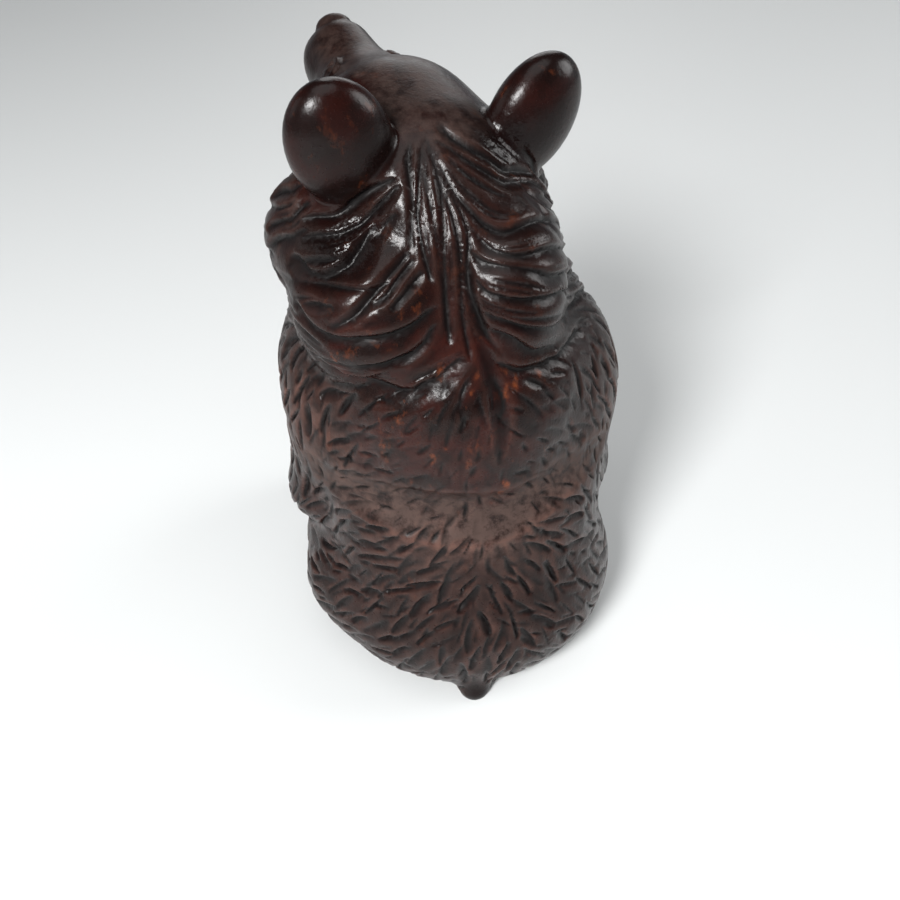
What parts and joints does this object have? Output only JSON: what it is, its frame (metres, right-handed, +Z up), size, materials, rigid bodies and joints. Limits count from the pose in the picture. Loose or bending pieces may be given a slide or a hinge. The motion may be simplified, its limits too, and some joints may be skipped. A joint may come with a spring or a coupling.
{
  "type": "carved bear figure",
  "caption": "Seated bear carved from one block of limewood, head turned to its left, coat cut with a gouge, stained nearly black.",
  "frame": {"origin": "on the flat underside, below the middle of the body", "axes": "+Z up from the underside to the tips of the ears; -Y out of the chest, towards the feet; +X towards the bear's own left"},
  "size_m": [0.0832, 0.094, 0.1502],
  "materials": {
    "stained_limewood": "satin wax over a dark brown stain"
  },
  "bodies": {
    "root": {"bear": "stained_limewood"}
  },
  "joints": []
}
